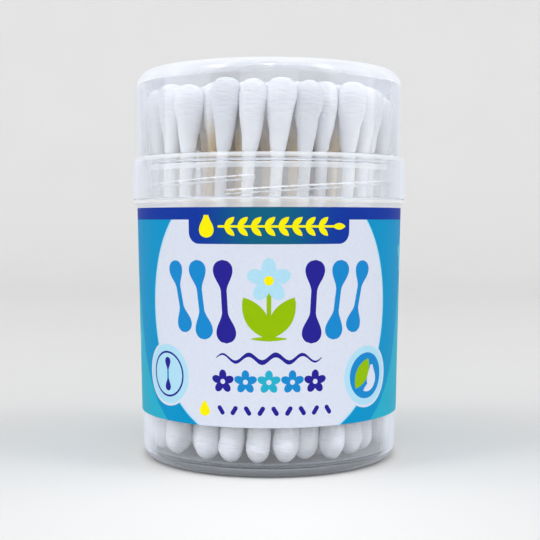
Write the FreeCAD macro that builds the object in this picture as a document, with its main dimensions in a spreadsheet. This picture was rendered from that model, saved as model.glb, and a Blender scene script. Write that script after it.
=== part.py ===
import FreeCAD, Part
import Sketcher
import math
import os
import random

# Cotton swab tub: a clear plastic tub with a threaded neck, a milky screw-on lid, a printed film label wrapped round
# the body, and a bundle of cotton swabs that stand on the floor of the tub. Lengths are millimetres and angles are
# degrees. The origin is the middle of the surface that the tub stands on, +Z points up and the front faces -Y.

SIZES = {
    # The tub's body is round, widest at its shoulder and a little narrower at its base.
    "body_radius": 28.0,
    "body_taper_width": 1.05,
    "shoulder_height": 52.8,
    "tub_wall": 0.8,
    "heel_radius": 2.8,
    "floor_corner_radius": 1.6,
    # Only a ring near the edge touches the table. The floor inside that ring is raised.
    "foot_ring_width": 0.8,
    "foot_height": 0.8,
    "floor_thickness": 1.5,
    # A ledge at the shoulder carries the lid's edge, and the neck above it carries the thread ridges.
    "ledge_height": 1.5,
    "neck_setback_width": 0.8,
    "neck_wall": 0.9,
    "neck_height": 7.2,
    "thread_starts": 4,
    "thread_lead_height": 10.4,
    "thread_turn_angle": 102.0,
    "thread_first_angle": 162.0,
    "thread_depth": 0.5,
    "thread_width": 1.0,
    "thread_start_height": 1.3,
    # The lid has a skirt over the neck and a slightly narrower upper part with a rounded crown.
    "lid_clearance": 0.3,
    "lid_wall": 0.9,
    "rim_clearance": 0.3,
    "skirt_step_width": 0.8,
    "skirt_step_height": 0.6,
    "crown_radius": 3.2,
    "headroom_height": 2.6,
    # The film label is one strip round the body, and its ends overlap at the back.
    "label_bottom_height": 10.1,
    "label_top_gap": 0.1,
    "label_thickness": 0.1,
    "label_clearance": 0.05,
    "label_overlap_angle": 14.0,
    # Each swab is a paper stick with a wound cotton tip at both ends.
    "swab_length": 75.6,
    "stick_radius": 1.15,
    "tip_radius": 2.6,
    "tip_length": 15.5,
    "tip_belly_length": 6.0,
    "tip_crown_radius": 1.4,
    "tip_cover_length": 3.0,
    # The bundle stands a little off the floor and the wall, leans outwards and is twisted.
    "swab_floor_gap": 0.15,
    "swab_wall_gap": 0.15,
    "swab_gap": 0.08,
    "bundle_flare_width": 0.7,
    "bundle_twist_angle": 12.0,
    "bundle_fill": 0.7,
}

# A round is turned as narrow flats, and a stick and its tips have few sides, because there are many of them.
HEEL_FLATS = 3
CROWN_FLATS = 3
INNER_FLATS = 1
SWAB_SIDES = 5
ROWS = ("outer", "middle", "inner")

# The bundle settles from a scattered start. The seed is one whose wall row stands as the real one does.
SCATTER_SEED = 674
SETTLING_ROUNDS = 300
OUTWARD_DRIFT = 1.0004

doc = FreeCAD.newDocument("cotton_swab_tub")
sheet = doc.addObject("Spreadsheet::Sheet", "sizes")
for line, (name, value) in enumerate(SIZES.items(), start=1):
    sheet.set(f"A{line}", name.replace("_", " "))
    sheet.set(f"B{line}", str(value))
    sheet.setAlias(f"B{line}", name)
doc.recompute()


def size(name):
    """A driving dimension as a number, read from the sheet."""
    return float(sheet.get(name))


def wall_radius(height):
    """Outer radius of the tapered body at a height, as an expression on the sheet."""
    narrowing = f"(1 - ({height}) / sizes.shoulder_height)"
    return f"(sizes.body_radius - sizes.body_taper_width * {narrowing})"


LEDGE_TOP = "(sizes.shoulder_height + sizes.ledge_height)"
RIM = f"({LEDGE_TOP} + sizes.neck_height)"
FLOOR = "(sizes.foot_height + sizes.floor_thickness)"
HEEL_START = f"({wall_radius('sizes.heel_radius')} - sizes.heel_radius)"
FOOT_INNER = f"({HEEL_START} - sizes.foot_ring_width)"
NECK_RADIUS = "(sizes.body_radius - sizes.neck_setback_width)"
NECK_BORE = f"({NECK_RADIUS} - sizes.neck_wall)"
BODY_BORE = "(sizes.body_radius - sizes.tub_wall)"
FLOOR_BORE = f"({wall_radius(FLOOR)} - sizes.tub_wall)"
SKIRT_BORE = f"({NECK_RADIUS} + sizes.thread_depth + sizes.lid_clearance)"
SKIRT_RADIUS = f"({SKIRT_BORE} + sizes.lid_wall)"
SKIRT_CEILING = f"({RIM} + sizes.rim_clearance)"
SKIRT_TOP = f"({SKIRT_CEILING} + sizes.lid_wall)"
UPPER_RADIUS = f"({SKIRT_RADIUS} - sizes.skirt_step_width)"
LID_BORE = f"({UPPER_RADIUS} - sizes.lid_wall)"
LID_CEILING = f"({FLOOR} + sizes.swab_floor_gap + sizes.swab_length + sizes.headroom_height)"
LID_TOP = f"({LID_CEILING} + sizes.lid_wall)"


def quarter_round(radius, height, bend, start, end, flats):
    """Corners along a quarter round between two angles, where the sharp corner would be at (radius, height).

    The round is turned as narrow flats. Angles are those seen from the centre of the bend.
    """
    across = round(math.cos(math.radians(start)) + math.cos(math.radians(end)))
    up = round(math.sin(math.radians(start)) + math.sin(math.radians(end)))
    corners = []
    for step in range(flats + 1):
        angle = start + (end - start) * step / flats
        corners.append(
            (
                f"{radius} - {bend} * ({across} - cos({angle} deg))",
                f"{height} - {bend} * ({up} - sin({angle} deg))",
            )
        )
    return corners


def new_body(name):
    body = doc.addObject("PartDesign::Body", name)
    body.Label = name
    return body


def origin_feature(body, role):
    return next(item for item in body.Origin.OriginFeatures if item.Role == role)


def outline(body, name, corners, angle_expression=None):
    """A closed outline through corners given as pairs of expressions (radius, height).

    It lies in the plane through the upright axis and +X, turned about that axis by the angle where one is given.
    """
    sketch = body.newObject("Sketcher::SketchObject", name)
    sketch.AttachmentSupport = [(origin_feature(body, "XZ_Plane"), "")]
    sketch.MapMode = "FlatFace"
    if angle_expression:
        sketch.AttachmentOffset = FreeCAD.Placement(
            FreeCAD.Vector(0, 0, 0), FreeCAD.Rotation(FreeCAD.Vector(0, 1, 0), 1)
        )
        sketch.setExpression("AttachmentOffset.Rotation.Angle", angle_expression)
    count = len(corners)
    first_guess = [
        FreeCAD.Vector(math.cos(2 * math.pi * n / count) + 2, math.sin(2 * math.pi * n / count), 0)
        for n in range(count)
    ]
    for n in range(count):
        side = Part.LineSegment(first_guess[n], first_guess[(n + 1) % count])
        sketch.addGeometry(side, False)
    for n in range(count):
        sketch.addConstraint(Sketcher.Constraint("Coincident", n, 2, (n + 1) % count, 1))
    for n, corner in enumerate(corners):
        for axis, expression in zip("XY", corner):
            distance = Sketcher.Constraint(f"Distance{axis}", -1, 1, n, 1, 1.0)
            index = sketch.addConstraint(distance)
            sketch.renameConstraint(index, f"corner_{n}_{axis}")
            sketch.setExpression(f"Constraints.corner_{n}_{axis}", expression)
    doc.recompute()
    return sketch


def turned(body, name, sketch, angle_expression=None):
    """The outline turned round the upright axis, in full or by an angle."""
    turn = body.newObject("PartDesign::Revolution", name)
    turn.Profile = sketch
    turn.ReferenceAxis = (origin_feature(body, "Z_Axis"), [""])
    turn.Angle = 360.0
    if angle_expression:
        turn.setExpression("Angle", angle_expression)
    doc.recompute()
    return turn


def make_tub():
    """Foot ring, rounded heel, tapered wall, ledge, neck, bore and floor in one turned outline, then the thread."""
    tub = new_body("tub")
    heel = quarter_round(
        wall_radius("sizes.heel_radius"), "0", "sizes.heel_radius", -90, 0, HEEL_FLATS
    )
    floor_corner = quarter_round(
        FLOOR_BORE, FLOOR, "sizes.floor_corner_radius", 0, -90, INNER_FLATS
    )
    section = outline(
        tub,
        "tub_section",
        [
            ("0", "sizes.foot_height"),
            (f"{FOOT_INNER} - sizes.foot_height", "sizes.foot_height"),
            (FOOT_INNER, "0"),
            *heel,
            ("sizes.body_radius", "sizes.shoulder_height"),
            (SKIRT_RADIUS, f"sizes.shoulder_height + {SKIRT_RADIUS} - sizes.body_radius"),
            (SKIRT_RADIUS, LEDGE_TOP),
            (NECK_RADIUS, LEDGE_TOP),
            (NECK_RADIUS, RIM),
            (NECK_BORE, RIM),
            (NECK_BORE, "sizes.shoulder_height"),
            (BODY_BORE, f"sizes.shoulder_height - ({BODY_BORE} - {NECK_BORE})"),
            *floor_corner,
            ("0", FLOOR),
        ],
    )
    turned(tub, "tub_turned", section)
    make_thread(tub)


def make_thread(tub):
    """Ridges that rise to the right round the neck, one for each start. They reach a little into the neck's wall."""
    root = f"{NECK_RADIUS} - sizes.neck_wall / 2"
    crest = f"{NECK_RADIUS} + sizes.thread_depth"
    middle = f"{LEDGE_TOP} + sizes.thread_start_height"
    section = outline(
        tub,
        "thread_section",
        [
            (root, f"{middle} - sizes.thread_width / 2"),
            (crest, middle),
            (root, f"{middle} + sizes.thread_width / 2"),
        ],
        "sizes.thread_first_angle",
    )
    ridge = tub.newObject("PartDesign::AdditiveHelix", "thread_ridge")
    ridge.Profile = section
    ridge.ReferenceAxis = (origin_feature(tub, "Z_Axis"), [""])
    ridge.Mode = "pitch-height-angle"
    ridge.setExpression("Pitch", "sizes.thread_lead_height")
    ridge.setExpression("Height", "sizes.thread_lead_height * sizes.thread_turn_angle / 360")
    ridge.LeftHanded = False
    ridge.Reversed = False
    doc.recompute()
    starts = tub.newObject("PartDesign::PolarPattern", "thread_starts")
    starts.Originals = [ridge]
    starts.Axis = (origin_feature(tub, "Z_Axis"), [""])
    starts.Angle = 360.0
    starts.setExpression("Occurrences", "sizes.thread_starts")
    tub.Tip = starts
    doc.recompute()


def make_lid():
    """Skirt, sloping step, upper wall, rounded crown and flat top in one turned outline of even wall."""
    lid = new_body("lid")
    crown = quarter_round(UPPER_RADIUS, LID_TOP, "sizes.crown_radius", 0, 90, CROWN_FLATS)
    inner_crown = quarter_round(
        LID_BORE, LID_CEILING, "(sizes.crown_radius - sizes.lid_wall)", 90, 0, INNER_FLATS
    )
    section = outline(
        lid,
        "lid_section",
        [
            (SKIRT_BORE, LEDGE_TOP),
            (SKIRT_RADIUS, LEDGE_TOP),
            (SKIRT_RADIUS, SKIRT_TOP),
            (UPPER_RADIUS, f"{SKIRT_TOP} + sizes.skirt_step_height"),
            *crown,
            ("0", LID_TOP),
            ("0", LID_CEILING),
            *inner_crown,
            (LID_BORE, SKIRT_CEILING),
            (SKIRT_BORE, SKIRT_CEILING),
        ],
    )
    turned(lid, "lid_turned", section)


def make_label():
    """The film follows the tapered wall, with a second layer where its ends overlap, centred on the back."""
    label = new_body("label")
    bottom = "sizes.label_bottom_height"
    top = "(sizes.shoulder_height - sizes.label_top_gap)"

    def layer(number):
        inside = f"sizes.label_clearance + sizes.label_thickness * {number}"
        outside = f"sizes.label_clearance + sizes.label_thickness * {number + 1}"
        return [
            (f"{wall_radius(bottom)} + {inside}", bottom),
            (f"{wall_radius(bottom)} + {outside}", bottom),
            (f"{wall_radius(top)} + {outside}", top),
            (f"{wall_radius(top)} + {inside}", top),
        ]

    turned(label, "label_turned", outline(label, "label_section", layer(0)))
    flap = outline(label, "overlap_section", layer(1), "90 - sizes.label_overlap_angle / 2")
    turned(label, "overlap_turned", flap, "sizes.label_overlap_angle")


def ringed_solid(rings):
    """A flat-sided solid whose skin runs through rings given as (radius, height), with a flat cap at both ends."""
    corners = []
    for radius, height in rings:
        ring = []
        for side in range(SWAB_SIDES):
            angle = 2 * math.pi * side / SWAB_SIDES
            ring.append(FreeCAD.Vector(radius * math.cos(angle), radius * math.sin(angle), height))
        corners.append(ring)
    faces = []
    for near, far in zip(corners, corners[1:]):
        for side in range(SWAB_SIDES):
            after = (side + 1) % SWAB_SIDES
            faces.append(Part.makePolygon([near[side], near[after], far[after], far[side], near[side]]))
    for cap in (corners[0], corners[-1]):
        faces.append(Part.makePolygon([*cap, cap[0]]))
    solid = Part.makeSolid(Part.makeShell([Part.Face(wire) for wire in faces]))
    if solid.Volume < 0:
        solid.reverse()
    return solid


def make_swab_forms():
    """The stick and the tip that every swab is made of. The tip stands on its open end, round a pocket."""
    stick_radius = size("stick_radius")
    tip_length = size("tip_length")
    stick = ringed_solid(
        [(stick_radius, 0), (stick_radius, size("swab_length") - 2 * size("tip_cover_length"))]
    )
    tip = ringed_solid(
        [
            (stick_radius, tip_length - size("tip_cover_length")),
            (stick_radius, 0),
            (size("tip_radius"), tip_length - size("tip_belly_length")),
            (size("tip_crown_radius"), tip_length),
        ]
    )
    return stick, tip


def settled(places, reach, spacing, drift):
    """Pushes crowded places apart and back inside the reach. The drift above one carries them outwards."""
    for turn in range(SETTLING_ROUNDS):
        if turn < SETTLING_ROUNDS / 2:
            places = [(x * drift, y * drift) for x, y in places]
        for a in range(len(places)):
            for b in range(a):
                away_x = places[a][0] - places[b][0]
                away_y = places[a][1] - places[b][1]
                apart = math.hypot(away_x, away_y)
                if apart >= spacing:
                    continue
                push = (spacing - apart) / apart / 2
                places[a] = (places[a][0] + away_x * push, places[a][1] + away_y * push)
                places[b] = (places[b][0] - away_x * push, places[b][1] - away_y * push)
        for n, (x, y) in enumerate(places):
            off_axis = math.hypot(x, y)
            if off_axis > reach:
                places[n] = (x * reach / off_axis, y * reach / off_axis)
    return places


def swab_places():
    """Where each swab's lower end and upper end are, seen from above."""
    bore = size("body_radius") - size("body_taper_width") - size("tub_wall")
    reach = bore - size("tip_radius") - size("swab_wall_gap")
    spacing = 2 * size("tip_radius") + size("swab_gap")
    count = int(size("bundle_fill") * (bore / size("tip_radius")) ** 2)
    scatter = random.Random(SCATTER_SEED)
    start = []
    for n in range(count):
        off_axis = reach * math.sqrt((n + 0.5) / count)
        heading = scatter.uniform(0, 2 * math.pi)
        start.append((off_axis * math.cos(heading), off_axis * math.sin(heading)))
    feet = settled(start, reach, spacing, OUTWARD_DRIFT)
    twist = math.radians(size("bundle_twist_angle"))
    flare = 1 + size("bundle_flare_width") / reach
    heads = []
    for x, y in feet:
        heads.append(
            (
                flare * (x * math.cos(twist) - y * math.sin(twist)),
                flare * (x * math.sin(twist) + y * math.cos(twist)),
            )
        )
    nearest = min(
        math.dist(feet[a], feet[b]) for a in range(len(feet)) for b in range(a)
    )
    print("swabs", count, "closest axes", round(nearest, 3), "wanted", spacing)
    return sorted(zip(feet, heads), key=lambda pair: -math.hypot(*pair[0])), scatter


def make_swabs():
    """Sticks, lower tips and upper tips, each kind in three rows from the wall inwards."""
    stick, tip = make_swab_forms()
    pairs, scatter = swab_places()
    length = size("swab_length")
    lift = size("foot_height") + size("floor_thickness") + size("swab_floor_gap")
    stick_rise = FreeCAD.Placement(FreeCAD.Vector(0, 0, size("tip_cover_length")), FreeCAD.Rotation())
    foot_down = FreeCAD.Placement(
        FreeCAD.Vector(0, 0, size("tip_length")), FreeCAD.Rotation(FreeCAD.Vector(1, 0, 0), 180)
    )
    head_up = FreeCAD.Placement(
        FreeCAD.Vector(0, 0, length - size("tip_length")), FreeCAD.Rotation()
    )
    pieces = {}
    for number, (foot, head) in enumerate(pairs):
        row = ROWS[number * len(ROWS) // len(pairs)]
        lean = math.dist(foot, head)
        rise = math.sqrt(length**2 - lean**2)
        upright = FreeCAD.Vector(0, 0, 1)
        along = FreeCAD.Vector(head[0] - foot[0], head[1] - foot[1], rise)
        spin = FreeCAD.Rotation(upright, scatter.uniform(0, 360 / SWAB_SIDES))
        tilt_drop = size("tip_crown_radius") * lean / length
        stand = FreeCAD.Placement(
            FreeCAD.Vector(foot[0], foot[1], lift + tilt_drop),
            FreeCAD.Rotation(upright, along) * spin,
        )
        for kind, form, seat in (
            ("swab_sticks", stick, stick_rise),
            ("cotton_tips_lower", tip, foot_down),
            ("cotton_tips_upper", tip, head_up),
        ):
            placed = form.copy()
            placed.Placement = stand * seat
            pieces.setdefault(f"{kind}_{row}", []).append(placed)
    for name, shapes in pieces.items():
        group = doc.addObject("Part::Feature", name)
        group.Label = name
        group.Shape = Part.makeCompound(shapes)
        group.Placement = FreeCAD.Placement()
    return list(pieces)


make_tub()
make_lid()
make_label()
nodes = ["tub", "lid", "label", *make_swabs()]
doc.recompute()


def with_spline_walls(shape):
    """The same solid with its tapered walls as spline faces, because a mesh follows those with few triangles."""
    faces = []
    for face in shape.Faces:
        tapered = isinstance(face.Surface, Part.Cone) and face.BoundBox.ZLength > size("neck_height")
        faces.append(face.toNurbs().Faces[0] if tapered else face)
    shell = Part.makeShell(faces)
    shell.sewShape()
    solid = Part.makeSolid(shell)
    if solid.Volume < 0:
        solid.reverse()
    return solid


for item in doc.Objects:
    if "Invalid" in item.State or "Error" in item.State:
        raise RuntimeError(f"{item.Name} failed: {item.State}")

os.makedirs("parts", exist_ok=True)
for node in nodes:
    shape = doc.getObject(node).Shape
    if shape.isNull() or not shape.isValid():
        raise RuntimeError(f"{node} has no valid shape")
    if node == "tub":
        shape = with_spline_walls(shape)
    if node == "label":
        shape = shape.toNurbs()
    shape.exportStep(f"parts/{node}.step")
    box = shape.BoundBox
    print(node, len(shape.Solids), "solids, height", round(box.ZMin, 3), "to", round(box.ZMax, 3))
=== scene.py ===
# %% [markdown]
# # A tub of cotton swabs
# A clear tub with a milky screw-on lid, a printed film label round it and seventy cotton swabs standing inside.
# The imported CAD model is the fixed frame. Every Blender piece below is made in its place, in metres, and stands for
# the CAD node that it covers.

import math
import random

import bmesh
import bpy
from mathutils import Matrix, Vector, geometry, noise


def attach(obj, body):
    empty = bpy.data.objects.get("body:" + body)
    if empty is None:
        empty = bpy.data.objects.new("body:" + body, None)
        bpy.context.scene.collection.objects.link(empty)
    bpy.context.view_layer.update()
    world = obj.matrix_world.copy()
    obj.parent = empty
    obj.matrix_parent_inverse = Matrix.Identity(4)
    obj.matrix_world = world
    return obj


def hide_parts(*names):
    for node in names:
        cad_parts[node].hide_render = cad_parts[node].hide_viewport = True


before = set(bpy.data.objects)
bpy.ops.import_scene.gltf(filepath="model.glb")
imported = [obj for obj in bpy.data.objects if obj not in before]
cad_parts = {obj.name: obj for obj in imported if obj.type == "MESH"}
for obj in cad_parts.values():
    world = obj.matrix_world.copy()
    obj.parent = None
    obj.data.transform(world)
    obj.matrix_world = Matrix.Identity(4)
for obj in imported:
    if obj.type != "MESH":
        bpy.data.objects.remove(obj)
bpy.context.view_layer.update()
MM = 0.001

# %% [markdown]
# ## The camera first
# The camera stands where the photo's perspective puts it: about a quarter of a metre away, level with the top of the
# label and tipped a little down. A long lens keeps the tub's sides nearly upright.

# %% Camera
CAMERA_DISTANCE = 243.6 * MM
CAMERA_HEIGHT = 50.4 * MM
CAMERA_ASIDE = 0.2 * MM
CAMERA_PITCH = math.radians(2.58)
camera_data = bpy.data.cameras.new("camera")
camera_data.sensor_width = 36.0
camera_data.lens = 75.33
camera_data.clip_start = 0.01
camera = bpy.data.objects.new("camera", camera_data)
camera.location = (CAMERA_ASIDE, -CAMERA_DISTANCE, CAMERA_HEIGHT)
camera.rotation_euler = (math.pi / 2 - CAMERA_PITCH, 0, 0)
bpy.context.scene.collection.objects.link(camera)
bpy.context.scene.camera = camera
print("camera lens", camera_data.lens, "mm")

# %% [markdown]
# ## Three helpers for materials
# Colours are easiest to note as sRGB hex values, the way a colour picker shows them. Cycles works in linear light, so
# one function turns them. Another adds a shader node, sets its sockets and links its inputs, and the third makes an
# empty material.


# %% Colour and node helpers
def linear(hex_colour):
    """An sRGB hex colour as linear red, green, blue and alpha."""
    parts = [int(hex_colour[i : i + 2], 16) / 255 for i in (1, 3, 5)]
    return (*(p / 12.92 if p <= 0.04045 else ((p + 0.055) / 1.055) ** 2.4 for p in parts), 1.0)


def add_node(tree, kind, settings=None, values=None, links=None):
    """A new node with its settings, its socket values and its input links, given by socket name or number."""
    node = tree.nodes.new(kind)
    for key, value in (settings or {}).items():
        setattr(node, key, value)
    for key, value in (values or {}).items():
        node.inputs[key].default_value = value
    for key, source in (links or {}).items():
        tree.links.new(source, node.inputs[key])
    return node


def new_material(name):
    """An empty material with its node tree and its output node."""
    material = bpy.data.materials.new(name)
    material.use_nodes = True
    tree = material.node_tree
    tree.nodes.clear()
    return material, tree, tree.nodes.new("ShaderNodeOutputMaterial")


# %% [markdown]
# ## See-through plastics
# Both mouldings are see-through, but neither is as clear as glass. Tiny crystals in the plastic scatter a share of
# the light: little where the eye looks straight through the wall, and much where it looks along the wall. Scattering
# inside a thin wall could be rendered as a volume, but that takes many samples to come out clean. So each plastic is
# a refracting shader with a share of milk mixed in, and Layer Weight makes that share larger at a glancing angle.
# Most of the milk's light comes back and a little goes on inwards. Lamps' shadow rays pass straight through, so that
# the swabs inside are lit as they are in the real tub.

# %% See-through plastic
SENT_ON = 0.15  # the share of the milk's light that goes on inwards
MILK_ROUGHNESS = 0.3
RIPPLE_STRENGTH = 0.25
RIPPLE_DEPTH = 0.1 * MM


def see_through_plastic(name, ior, roughness, milk_colour, milk, ripple_size, let_through):
    """A see-through moulding.

    milk lists (how glancing the view is, the milk's share), where 0 is straight on and 1 is along the surface.
    let_through is the share of a lamp's light that one surface lets pass.
    """
    material, tree, output = new_material(name)
    place = add_node(tree, "ShaderNodeTexCoord")
    ripple = add_node(
        tree,
        "ShaderNodeTexNoise",
        values={"Scale": 1 / ripple_size, "Detail": 1.5},
        links={"Vector": place.outputs["Object"]},
    )
    bump = add_node(
        tree,
        "ShaderNodeBump",
        values={"Strength": RIPPLE_STRENGTH, "Distance": RIPPLE_DEPTH},
        links={"Height": ripple.outputs["Fac"]},
    )
    clear = add_node(
        tree,
        "ShaderNodeBsdfPrincipled",
        values={
            "Base Color": linear("#FCFDFF"),
            "Roughness": roughness,
            "IOR": ior,
            "Transmission Weight": 1.0,
        },
        links={"Normal": bump.outputs["Normal"]},
    )
    sent_back = add_node(
        tree,
        "ShaderNodeBsdfPrincipled",
        values={"Base Color": linear(milk_colour), "Roughness": MILK_ROUGHNESS, "IOR": ior},
        links={"Normal": bump.outputs["Normal"]},
    )
    sent_on = add_node(tree, "ShaderNodeBsdfTranslucent", values={"Color": linear(milk_colour)})
    scattered = add_node(
        tree,
        "ShaderNodeMixShader",
        values={0: SENT_ON},
        links={1: sent_back.outputs[0], 2: sent_on.outputs[0]},
    )
    glance = add_node(tree, "ShaderNodeLayerWeight", values={"Blend": 0.5})
    share = add_node(tree, "ShaderNodeValToRGB", links={"Fac": glance.outputs["Facing"]})
    stops = share.color_ramp.elements
    stops.remove(stops[1])
    stops[0].position, stops[0].color = milk[0][0], (milk[0][1],) * 3 + (1.0,)
    for position, amount in milk[1:]:
        stops.new(position).color = (amount,) * 3 + (1.0,)
    body = add_node(
        tree,
        "ShaderNodeMixShader",
        links={0: share.outputs["Color"], 1: clear.outputs[0], 2: scattered.outputs[0]},
    )
    through = add_node(
        tree, "ShaderNodeBsdfTransparent", values={"Color": (let_through, let_through, let_through, 1.0)}
    )
    rays = add_node(tree, "ShaderNodeLightPath")
    mix = add_node(
        tree,
        "ShaderNodeMixShader",
        links={0: rays.outputs["Is Shadow Ray"], 1: body.outputs[0], 2: through.outputs[0]},
    )
    tree.links.new(mix.outputs[0], output.inputs["Surface"])
    return material, tree, output


# %% [markdown]
# ## Clear polyester for the tub
# The tub is blow-moulded polyester: clear and glossy, with a faint waviness from the mould. It takes a little light
# away over a long path, so the thick base looks grey and the thin wall doesn't. The grey is made deeper than real, as
# painted shade on the thick base, which lies in the swabs' shadow. The rim, the ledge and the threads' long edges are
# paler and duller: painted highlights for the bright lines that light draws there. The foot is paler and milkier too.
# One material all over would miss that, so the faces get six finishes of the same plastic.

# %% Polyester
POLYESTER_IOR = 1.575
# The grey in depth is deeper than real polyester's: painted shade that darkens the thick base, which lies in the swabs'
# shadow.
SHADE_GREY_IN_DEPTH = "#C0C6CA"
GREY_DENSITY = 45.0  # for each metre that light goes inside the plastic


def polyester(finish, roughness, milk_colour, milk, ripple, let_through, grey=False):
    """Clear moulded polyester with one finish, and with a ripple in millimetres. grey tints a long path inside."""
    name = f"clear moulded polyester{finish}"
    material, tree, output = see_through_plastic(
        name, POLYESTER_IOR, roughness, milk_colour, milk, ripple * MM, let_through
    )
    if grey:
        depth = add_node(
            tree,
            "ShaderNodeVolumeAbsorption",
            values={"Color": linear(SHADE_GREY_IN_DEPTH), "Density": GREY_DENSITY},
        )
        tree.links.new(depth.outputs[0], output.inputs["Volume"])
    return material


WALL_MILK = ((0.0, 0.03), (0.35, 0.12), (0.56, 0.24), (0.66, 0.6), (0.76, 0.9), (1.0, 0.97))
NECK_MILK = ((0.0, 0.07), (0.5, 0.22), (0.7, 0.5), (1.0, 0.9))
FLOOR_MILK = ((0.0, 0.02), (0.6, 0.1), (1.0, 0.5))
RIM_MILK = ((0.0, 0.5), (1.0, 0.9))
FOOT_MILK = ((0.0, 0.2), (0.5, 0.24), (1.0, 0.7))
POLYESTER = {
    "wall": polyester("", 0.02, "#EEF4FF", WALL_MILK, 9, 1.0, grey=True),
    # The edge and rim finishes are whitened as painted highlights for the bright lines on the rim, the ledge and the
    # threads.
    "edge": polyester(", painted highlight at the edges", 0.2, "#FFFFFF", ((0.0, 0.85), (1.0, 0.95)), 9, 0.9),
    "neck": polyester(", hazy at the thick neck", 0.04, "#F4F8FF", NECK_MILK, 4, 1.0),
    "floor": polyester(", thick base", 0.02, "#EAF1FC", FLOOR_MILK, 9, 0.72, grey=True),
    "rim": polyester(", rubbed at the rim and the ledge", 0.1, "#FAFCFF", RIM_MILK, 2, 0.97),
    "foot": polyester(", paler round the foot", 0.05, "#EEF4FF", FOOT_MILK, 9, 0.8, grey=True),
}
print("polyester finishes", list(POLYESTER))

# %% [markdown]
# ## Milky polypropylene for the lid
# The lid is injection-moulded polypropylene, which turns milky as it cools. The upper tips show clearly through its
# upper wall right up to the sides, so the milk stays thin there until the view is quite glancing. The crown and the
# skirt are milkier. The step between them and the lower edge are whiter still: painted highlights for the bright
# lines that light draws there.

# %% Polypropylene
POLYPROPYLENE_IOR = 1.49
LID_RIPPLE = 7 * MM


def polypropylene(finish, roughness, milk_colour, milk, let_through):
    """Milky moulded polypropylene with one finish."""
    name = f"milky moulded polypropylene{finish}"
    return see_through_plastic(
        name, POLYPROPYLENE_IOR, roughness, milk_colour, milk, LID_RIPPLE, let_through
    )[0]


UPPER_MILK = ((0.0, 0.02), (0.25, 0.06), (0.45, 0.16), (0.62, 0.24), (0.74, 0.5), (0.82, 0.88), (1.0, 0.98))
SKIRT_MILK = ((0.0, 0.08), (0.3, 0.16), (0.5, 0.245), (0.62, 0.5), (0.78, 0.9), (1.0, 0.98))
CROWN_MILK = ((0.0, 0.05), (0.12, 0.17), (0.3, 0.43), (0.6, 0.85), (1.0, 0.98))
POLYPROPYLENE = {
    "upper wall": polypropylene("", 0.025, "#EBF2FE", UPPER_MILK, 0.84),
    "skirt": polypropylene(", rubbed skirt", 0.06, "#EEF4FE", SKIRT_MILK, 0.97),
    # The lower edge and the step are whitened as painted highlights for the bright lines that light draws there.
    "lower edge": polypropylene(
        ", worn at the lower edge", 0.2, "#FBFCFF", ((0.0, 0.85), (1.0, 0.97)), 0.92
    ),
    "step": polypropylene(", painted highlight at the step", 0.05, "#F4F8FF", ((0.0, 0.5), (1.0, 0.95)), 0.9),
    "crown": polypropylene(", milky crown", 0.025, "#F6F9FF", CROWN_MILK, 0.9),
}
print("polypropylene finishes", list(POLYPROPYLENE))

# %% [markdown]
# ## Rolled paper for the sticks
# A stick is a strip of white paper rolled tight round itself. It is matte and slightly warm, because light comes back
# from deep in the paper, so the shader has a subsurface share. Its fibre is drawn as noise about 0.7 mm wide, which
# is coarser than real fibre, because that would be too fine to show.


# %% Rolled paper
FIBRES_PER_MM = 1.4
FIBRE_DEPTH = 0.05 * MM


def rolled_paper(name, shade, light):
    """Rolled paper whose tone runs from shade to light."""
    material, tree, output = new_material(name)
    unrolled = add_node(tree, "ShaderNodeUVMap", settings={"uv_map": "millimetres"})
    fibre = add_node(
        tree,
        "ShaderNodeTexNoise",
        values={"Scale": FIBRES_PER_MM, "Detail": 4.0},
        links={"Vector": unrolled.outputs["UV"]},
    )
    tone = add_node(tree, "ShaderNodeValToRGB", links={"Fac": fibre.outputs["Fac"]})
    for stop, position, colour in zip(tone.color_ramp.elements, (0.3, 0.7), (shade, light)):
        stop.position, stop.color = position, linear(colour)
    grain = add_node(
        tree,
        "ShaderNodeBump",
        values={"Strength": 0.35, "Distance": FIBRE_DEPTH},
        links={"Height": fibre.outputs["Fac"]},
    )
    paper = add_node(
        tree,
        "ShaderNodeBsdfPrincipled",
        values={
            "Roughness": 0.8,
            "IOR": 1.5,
            "Specular IOR Level": 0.3,
            "Subsurface Weight": 0.6,
            "Subsurface Radius": (1.0, 0.75, 0.5),
            "Subsurface Scale": 1.0 * MM,
        },
        links={"Base Color": tone.outputs["Color"], "Normal": grain.outputs["Normal"]},
    )
    tree.links.new(paper.outputs[0], output.inputs["Surface"])
    return material


# Deep in the real bundle the gaps look tan, probably because light bounces many times between warm papers. White
# paper renders them grey, so the middle and inner rows' paper is painted darker and tanner than real paper: painted
# shade and warm bounce light.
ROLLED_PAPER = {
    "outer": rolled_paper("rolled white paper", "#E6E5E4", "#F7F6F5"),
    "middle": rolled_paper("rolled white paper, middle of the bundle", "#C6A86C", "#D8BE8A"),
    "inner": rolled_paper("rolled white paper, heart of the bundle", "#A08248", "#BC9E66"),
}
print("made", [paper.name for paper in ROLLED_PAPER.values()])

# %% [markdown]
# ## Wound cotton for the tips
# A tip is cotton fibre wound round the stick's end and pressed. Fine rings of fibre run round it, some thicker than
# others, and loose fibre on top catches the light as a soft sheen. Noise that is stretched along the winding draws
# those rings, both as tone and as relief.

# %% Wound cotton
ALONG_PER_MM, ACROSS_PER_MM = 0.4, 3.6  # how fine the fibre is along and across the winding
WINDING_DEPTH = 0.12 * MM


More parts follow.
